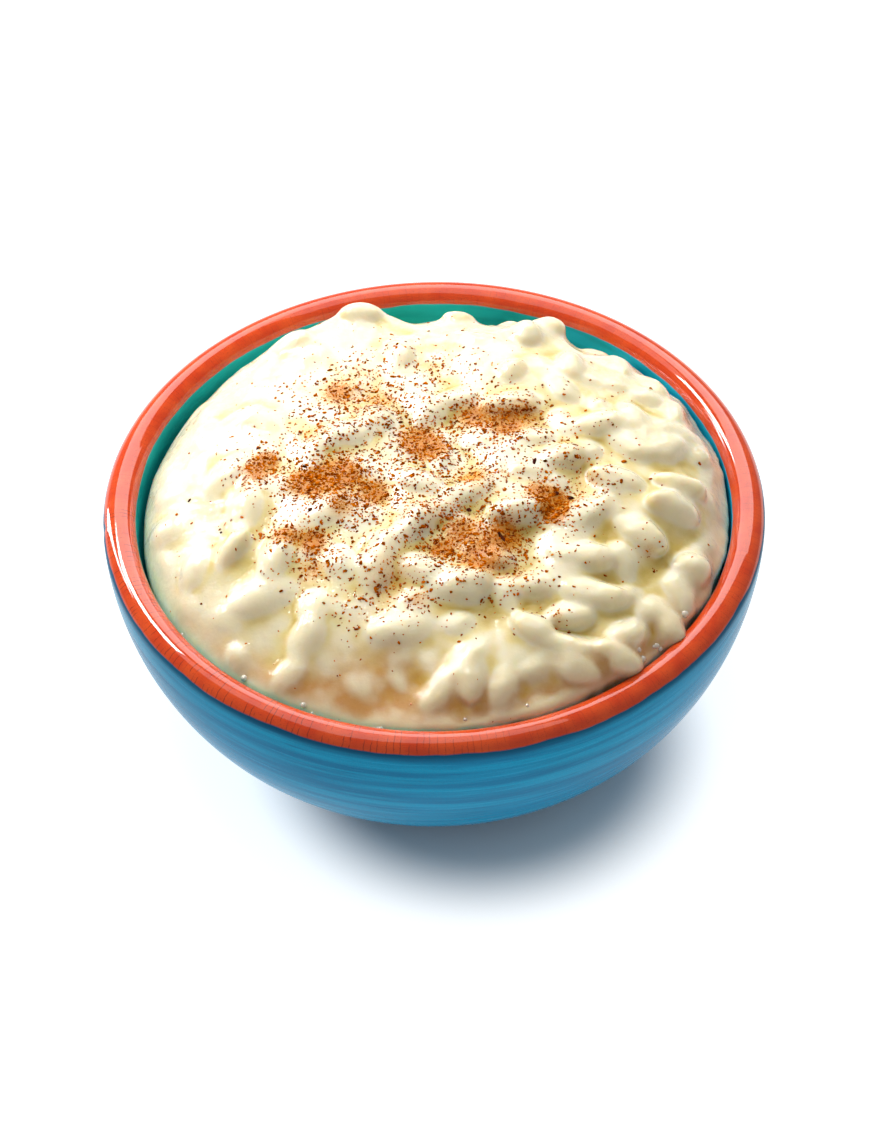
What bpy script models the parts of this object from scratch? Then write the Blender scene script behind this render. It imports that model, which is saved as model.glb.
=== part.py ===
"""Rice pudding heaped in a glazed earthenware bowl.

Two solids: the bowl, turned from one profile, and the pudding that fills it and
stands above its rim as an uneven heap of swollen rice.  Metres, +Z up, with the
origin on the table under the middle of the bowl.
"""

import math
import random

import bpy

# ---------------------------------------------------------------- bowl sizes
BOWL_RADIUS = 0.0601          # outside, at the rim's widest level
RIM_WIDTH = 0.0060            # thickness of the rounded rim, inside to outside
RIM_RISE = 0.0025             # the rim's top above its widest level
RIM_LEVEL = 0.0430            # the rim's widest level above the table
FLOOR_THICKNESS = 0.0055      # clay under the pudding at the middle
WALL_ROUND = 3.665            # how squarely the wall turns down from the rim
WALL_SWEEP = 1.707            # how gently the wall runs in to the foot
OUTER_SWEEP_DEPTH = 0.0447    # depth at which the outer curve would close
INNER_RADIUS = BOWL_RADIUS - RIM_WIDTH
INNER_DEPTH = RIM_LEVEL - FLOOR_THICKNESS

# ------------------------------------------------------------- pudding sizes
WALL_GAP = 0.0004             # between pudding and bowl
HEAP_TOP = 0.0122             # the heap's middle above the rim's widest level
EDGE_MEAN = -0.0024           # where the pudding meets the wall, on average
EDGE_TILT = 0.0038            # the edge is this much higher at the high side
HIGH_SIDE = math.radians(-65)  # direction of the edge's high side
FRONT_FULLNESS = 2.4          # soft slope at the front
BACK_FULLNESS = 8.0           # steep shoulder at the back
EDGE_SKIRT = 0.0006           # upright skirt of pudding along the wall
BACK_MOAT = 0.0040            # the heap stands this far off the wall at the back
MOAT_SIDE = math.radians(82)  # direction of the middle of that gap

# Mounds that stand out of the heap: x, y, radius and height
MOUNDS = (
    (-0.0135, 0.0445, 0.0060, 0.0066),   # crest at the back
    (-0.0085, 0.0440, 0.0040, 0.0016),
    (0.0055, 0.0430, 0.0045, 0.0014),
    (0.0205, 0.0390, 0.0060, 0.0026),
    (0.0235, 0.0410, 0.0035, 0.0026),
    (-0.0250, 0.0390, 0.0085, 0.0044),   # left shoulder
    (-0.0305, 0.0365, 0.0045, 0.0014),
    (-0.0370, 0.0310, 0.0080, 0.0016),
    (0.0370, 0.0340, 0.0065, 0.0042),    # right shoulder
    (0.0450, 0.0250, 0.0080, 0.0032),
    (0.0500, 0.0110, 0.0080, 0.0016),
    (-0.0440, 0.0030, 0.0070, 0.0007),
    (0.0430, -0.0060, 0.0060, 0.0020),
    (0.0440, -0.0180, 0.0060, 0.0016),
    (0.0300, -0.0390, 0.0070, 0.0016),
    (0.0070, -0.0450, 0.0055, 0.0024),   # grain at the front
    (-0.0240, -0.0370, 0.0050, 0.0014),
    (-0.0320, -0.0260, 0.0070, 0.0014),
    (0.0040, -0.0280, 0.0060, 0.0016),
    (-0.0180, 0.0060, 0.0060, 0.0012),
)
MOUND_FALL = 1.4                # how fast a mound falls off round its middle
MOUND_FADE = 0.0030             # mounds die out this close to the wall

# Swollen grains that roughen the whole heap
GRAIN_COUNT = 150
GRAIN_LENGTH = 0.0120
GRAIN_WIDTH = 0.0080
GRAIN_RISE = 0.0026
LOWEST_GRAIN = 0.5              # least share of the rise
HIGHEST_GRAIN = 1.2             # greatest share of the rise
GRAIN_SEED = 12

# ------------------------------------------------------------ mesh fineness
TURN_STEPS = 80
INNER_STEPS = 11
OUTER_STEPS = 11
RIM_STEPS = 8
HEAP_CELLS = 34
MERGE = 0.00005


def sweep_point(radius, depth, angle):
    """Point of a wall curve: angle 0 is at the rim, 90 degrees on the axis."""
    across = radius * max(math.cos(angle), 0.0) ** (2.0 / WALL_ROUND)
    down = depth * math.sin(angle) ** (2.0 / WALL_SWEEP)
    return across, -down


def sweep_angle(depth, down):
    """Angle along a wall curve at which it has come down this far."""
    return math.asin(min(down / depth, 1.0) ** (WALL_SWEEP / 2.0))


def rim_point(angle):
    """Point on the rounded rim: angle 0 is its outer side, 180 its inner."""
    middle = BOWL_RADIUS - RIM_WIDTH / 2
    across = middle + RIM_WIDTH / 2 * math.cos(angle)
    return across, RIM_RISE * math.sin(angle)


def bowl_profile():
    """Inside from the axis up to the rim, over it and down the outside."""
    points = []
    for i in range(INNER_STEPS):
        angle = math.pi / 2 * (1 - i / INNER_STEPS)
        points.append(sweep_point(INNER_RADIUS, INNER_DEPTH, angle))
    for i in range(RIM_STEPS):
        points.append(rim_point(math.pi * (1 - i / RIM_STEPS)))
    last = sweep_angle(OUTER_SWEEP_DEPTH, RIM_LEVEL)
    for i in range(OUTER_STEPS + 1):
        angle = last * i / OUTER_STEPS
        points.append(sweep_point(BOWL_RADIUS, OUTER_SWEEP_DEPTH, angle))
    points.append((0.0, -RIM_LEVEL))
    return [(across, level + RIM_LEVEL) for across, level in points]


def wall_radius(level):
    """Radius of the bowl's inside at a level above or below the rim's widest."""
    if level >= 0:
        lift = min(level / RIM_RISE, 1.0)
        middle = BOWL_RADIUS - RIM_WIDTH / 2
        return middle - RIM_WIDTH / 2 * math.sqrt(1 - lift * lift)
    down = min(-level / INNER_DEPTH, 1.0)
    return INNER_RADIUS * (1 - down ** WALL_SWEEP) ** (1 / WALL_ROUND)


def edge_level(turn):
    """Where the pudding meets the wall, seen round the bowl."""
    return EDGE_MEAN + EDGE_TILT * math.cos(turn - HIGH_SIDE)


def heap_radius(turn):
    """Radius at which the heap reaches the level of its edge."""
    facing = max(math.cos(turn - MOAT_SIDE), 0.0)
    return INNER_RADIUS - BACK_MOAT * facing ** 1.5


def dome(radius, turn):
    """Smooth form of the heap, without grains."""
    backward = 0.5 + 0.5 * math.sin(turn)
    fullness = FRONT_FULLNESS + (BACK_FULLNESS - FRONT_FULLNESS) * backward
    fall = min(radius / heap_radius(turn), 1.0) ** fullness
    low = edge_level(turn)
    return low + (HEAP_TOP - low) * (1 - fall)


def mound_rise(x, y):
    """Height that the named mounds add."""
    rise = 0.0
    for mound_x, mound_y, radius, height in MOUNDS:
        distance = math.hypot(x - mound_x, y - mound_y) / radius
        rise += height * math.exp(-MOUND_FALL * distance * distance)
    return rise


def scatter_grains():
    """Place and direction of the grains that roughen the heap."""
    chance = random.Random(GRAIN_SEED)
    grains = []
    for _ in range(GRAIN_COUNT):
        radius = (INNER_RADIUS - GRAIN_WIDTH / 2) * math.sqrt(chance.random())
        turn = chance.uniform(0, 2 * math.pi)
        lie = chance.uniform(0, math.pi)
        rise = GRAIN_RISE * chance.uniform(LOWEST_GRAIN, HIGHEST_GRAIN)
        grains.append((radius * math.cos(turn), radius * math.sin(turn), lie, rise))
    return grains


def grain_rise(x, y, grains):
    """Height of the highest grain over a point."""
    best = 0.0
    for grain_x, grain_y, lie, rise in grains:
        along = (x - grain_x) * math.cos(lie) + (y - grain_y) * math.sin(lie)
        across = (y - grain_y) * math.cos(lie) - (x - grain_x) * math.sin(lie)
        off = (2 * along / GRAIN_LENGTH) ** 2 + (2 * across / GRAIN_WIDTH) ** 2
        if off < 1:
            best = max(best, rise * (1 - off))
    return best


def heap_point(reach, turn, grains):
    """Point on the heap: reach is 0 at its middle and 1 where it meets the wall."""
    edge = wall_radius(edge_level(turn)) - WALL_GAP
    radius = edge * reach
    x = radius * math.cos(turn)
    y = radius * math.sin(turn)
    mounds = mound_rise(x, y) * min((edge - radius) / MOUND_FADE, 1.0)
    relief = grain_rise(x, y, grains) * min((edge - radius) / GRAIN_WIDTH, 1.0)
    return x, y, RIM_LEVEL + dome(radius, turn) + mounds + relief


def sunk_point(reach, turn):
    """Point where the pudding lies against the bowl: reach is 0 on the axis."""
    low = edge_level(turn)
    start = sweep_angle(INNER_DEPTH, max(-low, 0.0))
    angle = math.pi / 2 - (math.pi / 2 - start) * reach
    across, level = sweep_point(INNER_RADIUS - WALL_GAP, INNER_DEPTH - WALL_GAP, angle)
    if reach == 1:
        level = min(level, low - EDGE_SKIRT)
    return across * math.cos(turn), across * math.sin(turn), RIM_LEVEL + level


def round_off(x, y):
    """Carries a square from -1 to 1 to a round: reach from the middle, and turn."""
    reach = max(abs(x), abs(y))
    if reach < MERGE:
        return 0.0, 0.0
    if abs(x) >= abs(y):
        turn = math.pi / 4 * y / x
        return reach, turn if x > 0 else turn + math.pi
    turn = math.pi / 2 - math.pi / 4 * x / y
    return reach, turn if y > 0 else turn + math.pi


def clear_scene():
    for thing in list(bpy.data.objects):
        bpy.data.objects.remove(thing, do_unlink=True)


def make_collection(name):
    collection = bpy.data.collections.new(name)
    bpy.context.scene.collection.children.link(collection)
    return collection


def make_material(name, colour, roughness):
    material = bpy.data.materials.new(name)
    material.use_nodes = True
    shader = material.node_tree.nodes["Principled BSDF"]
    shader.inputs["Base Color"].default_value = (*colour, 1.0)
    shader.inputs["Roughness"].default_value = roughness
    shader.inputs["Metallic"].default_value = 0.0
    return material


def profile_object(name, points, collection, material):
    """An open outline in the XZ plane, ready to be turned."""
    mesh = bpy.data.meshes.new(name)
    edges = [(i, i + 1) for i in range(len(points) - 1)]
    mesh.from_pydata([(across, 0.0, up) for across, up in points], edges, [])
    mesh.materials.append(material)
    outline = bpy.data.objects.new(name, mesh)
    collection.objects.link(outline)
    return outline


def turn_profile(outline):
    """Turns the outline once round the Z axis."""
    screw = outline.modifiers.new("Turned on the wheel", "SCREW")
    screw.axis = "Z"
    screw.angle = 2 * math.pi
    screw.steps = TURN_STEPS
    screw.render_steps = TURN_STEPS
    screw.use_merge_vertices = True
    screw.merge_threshold = MERGE
    screw.use_smooth_shade = True


def make_bowl(collection):
    glaze = make_material("blue_glaze", (0.055, 0.27, 0.42), 0.15)
    bowl = profile_object("bowl", bowl_profile(), collection, glaze)
    turn_profile(bowl)
    return bowl


def make_pudding(collection):
    """Presses an even square slab to the bowl below and to the heap above."""
    cream = make_material("cream", (0.86, 0.80, 0.62), 0.25)
    bpy.ops.mesh.primitive_grid_add(
        x_subdivisions=HEAP_CELLS, y_subdivisions=HEAP_CELLS, size=2.0
    )
    slab = bpy.context.object
    thick = slab.modifiers.new("Slab", "SOLIDIFY")
    thick.thickness = 1.0
    thick.offset = 0.0
    graph = bpy.context.evaluated_depsgraph_get()
    mesh = bpy.data.meshes.new_from_object(slab.evaluated_get(graph))
    bpy.data.objects.remove(slab, do_unlink=True)
    grains = scatter_grains()
    for vertex in mesh.vertices:
        reach, turn = round_off(round(vertex.co.x, 5), round(vertex.co.y, 5))
        if vertex.co.z > 0:
            vertex.co = heap_point(reach, turn, grains)
        else:
            vertex.co = sunk_point(reach, turn)
    mesh.name = "pudding"
    mesh.materials.append(cream)
    mesh.shade_smooth()
    pudding = bpy.data.objects.new("pudding", mesh)
    collection.objects.link(pudding)
    return pudding


def main():
    clear_scene()
    dish = make_collection("rice_pudding")
    make_bowl(dish)
    make_pudding(dish)


main()
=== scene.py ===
# %% [markdown]
# # Rice pudding in a glazed bowl
# A lesson in five pieces: the turned bowl, the creamy heap, the rice that shows
# in it, the cinnamon on top, and the light that makes it all look wet.
# The frame below holds the exact solids of the dish.  Nothing here moves or
# resizes them: each finished piece takes the place of one, at the same size.

# %% Load the frame
import math
import random

import bpy
import numpy as np
from mathutils import Matrix, Vector, noise
from mathutils.bvhtree import BVHTree


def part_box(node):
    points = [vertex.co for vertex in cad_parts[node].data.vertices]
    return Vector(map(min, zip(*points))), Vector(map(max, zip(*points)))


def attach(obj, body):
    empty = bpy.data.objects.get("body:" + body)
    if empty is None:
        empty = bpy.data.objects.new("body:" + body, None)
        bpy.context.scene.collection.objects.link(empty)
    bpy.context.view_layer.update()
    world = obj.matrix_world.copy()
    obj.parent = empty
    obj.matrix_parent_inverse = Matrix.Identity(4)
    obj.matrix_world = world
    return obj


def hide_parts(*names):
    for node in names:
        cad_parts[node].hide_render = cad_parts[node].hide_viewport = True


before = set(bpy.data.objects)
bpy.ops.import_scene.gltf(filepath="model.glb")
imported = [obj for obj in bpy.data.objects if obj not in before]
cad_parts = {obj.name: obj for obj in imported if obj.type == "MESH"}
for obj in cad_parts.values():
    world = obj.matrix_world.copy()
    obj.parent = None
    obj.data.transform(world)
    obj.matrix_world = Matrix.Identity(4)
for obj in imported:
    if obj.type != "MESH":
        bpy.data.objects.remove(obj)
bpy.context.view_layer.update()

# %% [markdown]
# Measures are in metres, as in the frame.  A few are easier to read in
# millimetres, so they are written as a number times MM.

MM = 0.001
print("nodes in the frame:", sorted(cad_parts))

# %% [markdown]
# ## Sizes
# The bowl's outside, its rim and the top of the heap are read from the frame,
# so that the looks always fit the solids.  The rim's proportions and the two
# wall curves are the potter's own numbers, in the same words as the solid's.

# %% Sizes of the bowl and the heap
_, bowl_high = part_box("bowl")
_, heap_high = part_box("pudding")
BOWL_RADIUS = bowl_high.x
RIM_WIDTH = 6.0 * MM
RIM_RISE = 2.5 * MM
RIM_LEVEL = bowl_high.z - RIM_RISE
INNER_RADIUS = BOWL_RADIUS - RIM_WIDTH
INNER_DEPTH = RIM_LEVEL - 5.5 * MM
OUTER_DEPTH = 44.7 * MM
WALL_ROUND = 3.665
WALL_SWEEP = 1.707
print("bowl radius", round(BOWL_RADIUS, 4), "rim level", round(RIM_LEVEL, 4))


# %% [markdown]
# ## The bowl
# A thrown bowl is one curve turned round the wheel's axis.  It could be lathed
# with a Screw modifier or built ring by ring from a circle.  Here one point is
# drawn out along the curve, as a potter's rib would follow it, and the curve is
# spun: the ends lie on the axis, so the wall closes at both poles.

# %% The wall curves
def wall_point(radius, depth, angle):
    """Point of a wall curve: angle 0 is at the rim, 90 degrees on the axis."""
    across = radius * max(math.cos(angle), 0.0) ** (2.0 / WALL_ROUND)
    down = depth * math.sin(angle) ** (2.0 / WALL_SWEEP)
    return across, RIM_LEVEL - down


def rim_point(angle):
    """Point on the rounded rim: angle 0 is its outer side, 180 its inner."""
    across = BOWL_RADIUS - RIM_WIDTH / 2 + RIM_WIDTH / 2 * math.cos(angle)
    return across, RIM_LEVEL + RIM_RISE * math.sin(angle)


def bowl_curve(inside=34, rim=22, outside=40):
    """Inside floor to rim, over the rim and down the outside to the foot."""
    curve = [wall_point(INNER_RADIUS, INNER_DEPTH, math.pi / 2 * (1 - i / inside))
             for i in range(inside)]
    curve += [rim_point(math.pi * (1 - i / rim)) for i in range(rim)]
    last = math.asin((RIM_LEVEL / OUTER_DEPTH) ** (WALL_SWEEP / 2))
    curve += [wall_point(BOWL_RADIUS, OUTER_DEPTH, last * i / outside)
              for i in range(outside + 1)]
    foot = curve[-1][0]
    curve += [(foot * (1 - i / 6), 0.0) for i in range(1, 7)]
    return curve


print("points in the bowl's curve:", len(bowl_curve()))


# %% Draw the curve out of one point and spin it
def deselect():
    if bpy.context.mode != "OBJECT":
        bpy.ops.object.mode_set(mode="OBJECT")
    bpy.ops.object.select_all(action="DESELECT")


def spin_curve(name, curve, steps):
    """A closed turned mesh from (radius, height) points that end on the axis."""
    deselect()
    bpy.ops.mesh.primitive_plane_add(size=0.01)
    piece = bpy.context.object
    piece.name = name
    bpy.ops.object.mode_set(mode="EDIT")
    bpy.ops.mesh.select_all(action="SELECT")
    bpy.ops.mesh.merge(type="CENTER")
    bpy.ops.transform.translate(value=(curve[0][0], 0, curve[0][1]))
    for (r0, z0), (r1, z1) in zip(curve, curve[1:]):
        step = {"value": (r1 - r0, 0, z1 - z0)}
        bpy.ops.mesh.extrude_region_move(TRANSFORM_OT_translate=step)
    bpy.ops.mesh.select_all(action="SELECT")
    bpy.ops.mesh.spin(steps=steps, angle=2 * math.pi, center=(0, 0, 0), axis=(0, 0, 1))
    bpy.ops.mesh.select_all(action="SELECT")
    bpy.ops.mesh.remove_doubles(threshold=0.02 * MM)
    bpy.ops.mesh.normals_make_consistent(inside=False)
    bpy.ops.object.mode_set(mode="OBJECT")
    return piece


bowl = spin_curve("glazed_bowl", bowl_curve(), 300)
print("bowl faces:", len(bowl.data.polygons))


# %% [markdown]
# A hand-thrown wall is never quite true.  A slow wobble of a tenth of a
# millimetre, always inwards so that the bowl keeps its size, bends the long
# reflections a little.  A dent in the left of the rim is where a drop of glaze
# was knocked off.  Sculpting would do it too, but a rule can be repeated.

# %% Make the turned bowl uneven
def read_points(piece):
    points = np.empty(len(piece.data.vertices) * 3)
    piece.data.vertices.foreach_get("co", points)
    return points.reshape(-1, 3)


def write_points(piece, points):
    piece.data.vertices.foreach_set("co", np.ascontiguousarray(points).ravel())
    piece.data.update()


def slow_noise(points, size, seed):
    """Smooth noise from -1 to 1 with waves of about this size in metres."""
    shift = Vector((seed * 7.13, seed * 3.71, seed * 1.37))
    return np.array([noise.noise(Vector(p) / size + shift) for p in points])


WOBBLE = 0.12 * MM
WOBBLE_LENGTH = 30 * MM
DENT = Vector((-BOWL_RADIUS, -3.9 * MM, RIM_LEVEL + 0.5 * MM))
DENT_WIDTH = 0.9 * MM
DENT_DEPTH = 0.45 * MM
SHARPEST_SMOOTH = math.radians(50)
shape = read_points(bowl)
radius = np.hypot(shape[:, 0], shape[:, 1])
inward = WOBBLE * (0.5 + 0.5 * slow_noise(shape, WOBBLE_LENGTH, 1))
near_dent = np.exp(-np.sum((shape - DENT) ** 2, axis=1) / DENT_WIDTH ** 2)
inward = inward + DENT_DEPTH * near_dent
keep = 1 - inward / np.maximum(radius, 20 * MM)
shape[:, :2] *= keep[:, None]
write_points(bowl, shape)
deselect()
bowl.select_set(True)
bpy.context.view_layer.objects.active = bowl
bpy.ops.object.shade_smooth_by_angle(angle=SHARPEST_SMOOTH)
print("deepest dent:", round(inward.max() / MM, 2), "mm")


# %% [markdown]
# Inside and outside carry different glazes, so each point is marked with the
# side it belongs to.  A material can read such a mark as an attribute.

# %% Mark the inside of the bowl
def write_mark(piece, name, values):
    mark = piece.data.attributes.new(name, "FLOAT", "POINT")
    mark.data.foreach_set("value", np.asarray(values, dtype=np.float32))


def wall_radius(radius, depth, height):
    down = np.clip((RIM_LEVEL - height) / depth, 0, 1)
    return radius * (1 - down ** WALL_SWEEP) ** (1 / WALL_ROUND)


middle = (wall_radius(BOWL_RADIUS, OUTER_DEPTH, shape[:, 2])
          + wall_radius(INNER_RADIUS, INNER_DEPTH, shape[:, 2])) / 2
inside = (np.hypot(shape[:, 0], shape[:, 1]) < middle) & (shape[:, 2] > 3 * MM)
write_mark(bowl, "inside", inside.astype(float))
print("points inside:", int(inside.sum()), "of", len(inside))


# %% [markdown]
# ## The form of the heap
# The pudding was spooned in while warm: it stands high in the middle, runs
# gently down to the front, where milk reaches the rim, and ends in a steep
# shoulder at the back, off the wall.  One smooth formula gives that form, and
# broad mounds and hollows are added to it at chosen places.

# %% Heap form
HEAP_TOP = 12.2 * MM
EDGE_MEAN = -2.4 * MM
EDGE_TILT = 3.8 * MM
HIGH_SIDE = math.radians(-65)
FRONT_FULLNESS = 2.4
BACK_FULLNESS = 8.0
BACK_MOAT = 4.0 * MM
MOAT_SIDE = math.radians(82)
MOUND_FALL = 1.4

# x, y, radius and height in millimetres
MOUNDS = (
    (-13.5, 44.5, 6.0, 6.6),
    (-8.5, 44.0, 4.0, 1.6),
    (5.5, 43.0, 4.5, 1.4),
    (20.5, 39.0, 6.0, 2.6),
    (23.5, 41.0, 3.5, 2.6),
    (-25.0, 39.0, 8.5, 4.4),
    (-30.5, 36.5, 4.5, 1.4),
    (-38.0, 31.0, 8.0, 3.0),
    (-46.0, 19.0, 8.0, 1.8),
    (-36.0, 36.0, 5.0, 2.0),
    (-45.0, 25.0, 5.0, 1.4),
    (-50.5, 10.0, 5.0, 1.2),
    (0.0, 46.5, 5.0, 0.9),
    (-20.5, 43.0, 4.5, 2.2),
    (37.0, 34.0, 6.5, 4.2),
    (45.0, 25.0, 8.0, 4.2),
    (50.0, 11.0, 8.0, 2.6),
    (-44.0, 3.0, 7.0, 0.7),
    (43.0, -6.0, 6.0, 1.2),
    (30.0, -39.0, 7.0, 1.2),
    (-12.0, -46.0, 9.0, -1.2),
    (16.0, -16.0, 4.0, -1.5),
)


def edge_level(turn):
    """Where the pudding meets the wall, above or below the rim's widest level."""
    return EDGE_MEAN + EDGE_TILT * np.cos(turn - HIGH_SIDE)


def heap_height(x, y):
    """Height of the smooth heap over a place on the table."""
    turn = np.arctan2(y, x)
    facing = np.maximum(np.cos(turn - MOAT_SIDE), 0)
    reach = INNER_RADIUS - BACK_MOAT * facing ** 1.5
    backward = 0.5 + 0.5 * np.sin(turn)
    fullness = FRONT_FULLNESS + (BACK_FULLNESS - FRONT_FULLNESS) * backward
    fall = np.minimum(np.hypot(x, y) / reach, 1) ** fullness
    low = edge_level(turn)
    height = low + (HEAP_TOP - low) * (1 - fall)
    for at_x, at_y, width, rise in MOUNDS:
        off = ((x - at_x * MM) ** 2 + (y - at_y * MM) ** 2) / (width * MM) ** 2
        height = height + rise * MM * np.exp(-MOUND_FALL * off)
    return RIM_LEVEL + height


print("heap's middle:", round(float(heap_height(0.0, 0.0)) / MM, 1), "mm high")

# %% [markdown]
# ## The core of the pudding
# The core is the heap without its grains: a square grid pressed into a round,
# so that its cells stay even out to the wall, and extruded down to a slab.  A
# disc of rings would crowd its points at the middle.  Cream that was stirred
# lies in soft lumps, so two sizes of them are added to the core's top.

# %% Press a grid into the round core
CORE_CELLS = 170
CORE_SINK = 1.0 * MM
SLAB_BOTTOM = RIM_LEVEL - 11 * MM
WALL_TUCK = 0.25 * MM


def round_off(x, y):
    """Carries a square from -1 to 1 to a round of even cells."""
    reach = np.maximum(np.abs(x), np.abs(y))
    wide = np.abs(x) >= np.abs(y)
    with np.errstate(divide="ignore", invalid="ignore"):
        along = np.pi / 4 * np.where(wide, y / x, x / y)
    along = np.nan_to_num(along)
    turn = np.where(wide, along + np.where(x < 0, np.pi, 0),
                    np.pi / 2 - along + np.where(y < 0, np.pi, 0))
    return reach * np.cos(turn), reach * np.sin(turn)


def billow(x, y, size, seed):
    """Rounded lumps with creases between them, 0 in a crease to about 1."""
    shift = Vector((seed * 5.3, seed * 2.9, seed * 7.7))
    flat = [noise.noise(Vector((a, b, 0)) / size + shift) for a, b in zip(x, y)]
    return np.minimum(np.abs(np.array(flat)) * 2.6, 1.2)


def cream_lumps(x, y):
    """Lumps of the cream itself, large and small, softer to the left."""
    lively = np.clip((x + 44 * MM) / (46 * MM), 0.45, 1)
    large = billow(x, y, 13 * MM, 1) - 0.5
    small = billow(x, y, 6.5 * MM, 2) - 0.4
    return lively * (1.5 * MM * large + 0.7 * MM * small)


def make_core():
    deselect()
    bpy.ops.mesh.primitive_grid_add(
        x_subdivisions=CORE_CELLS, y_subdivisions=CORE_CELLS, size=2)
    core = bpy.context.object
    core.name = "pudding_core"
    bpy.ops.object.mode_set(mode="EDIT")
    bpy.ops.mesh.select_all(action="SELECT")
    bpy.ops.mesh.extrude_region_move(TRANSFORM_OT_translate={"value": (0, 0, 1)})
    bpy.ops.mesh.select_all(action="SELECT")
    bpy.ops.mesh.normals_make_consistent(inside=False)
    bpy.ops.object.mode_set(mode="OBJECT")
    points = read_points(core)
    x, y = round_off(points[:, 0], points[:, 1])
    turn = np.arctan2(y, x)
    low = RIM_LEVEL + edge_level(turn)
    wall = wall_radius(INNER_RADIUS, INNER_DEPTH, low) - WALL_TUCK
    top_x, top_y = x * wall, y * wall
    floor = wall_radius(INNER_RADIUS, INNER_DEPTH, SLAB_BOTTOM) - WALL_TUCK
    is_top = points[:, 2] > 0.5
    rim_fade = np.clip((1 - np.hypot(x, y)) / 0.1, 0, 1)
    relief = cream_lumps(top_x, top_y) - CORE_SINK
    top_z = heap_height(top_x, top_y) + relief * rim_fade
    points[:, 0] = np.where(is_top, top_x, x * floor)
    points[:, 1] = np.where(is_top, top_y, y * floor)
    points[:, 2] = np.where(is_top, top_z, SLAB_BOTTOM)
    write_points(core, points)
    return core


core = make_core()
print("core faces:", len(core.data.polygons))

# %% [markdown]
# ## Grains in the cream
# Short-grain rice swells to twice its size and takes on a coat of cream.  One
# grain is modelled from a sphere: drawn long, one end fuller than the other.
# Every other grain is a copy with its own length, width and lie.

# %% Model one swollen grain
def model_grain(name, segments, rings):
    """A grain one unit long and one unit wide, lying along X."""
    deselect()
    bpy.ops.mesh.primitive_uv_sphere_add(segments=segments, ring_count=rings, radius=0.5)
    grain = bpy.context.object
    grain.name = name
    bpy.ops.object.mode_set(mode="EDIT")
    bpy.ops.mesh.select_all(action="SELECT")
    bpy.ops.transform.rotate(value=math.pi / 2, orient_axis="Y",
                             center_override=(0, 0, 0))
    bpy.ops.mesh.normals_make_consistent(inside=False)
    bpy.ops.object.mode_set(mode="OBJECT")
    points = read_points(grain)
    along = points[:, 0] * 2
    points[:, 1:] *= (1 + 0.10 * along - 0.06 * along ** 2)[:, None]
    points[:, 2] += 0.07 * along ** 2
    write_points(grain, points)
    return grain


grain_form = model_grain("swollen_grain", 14, 9)
print("faces of one grain:", len(grain_form.data.polygons))
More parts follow.
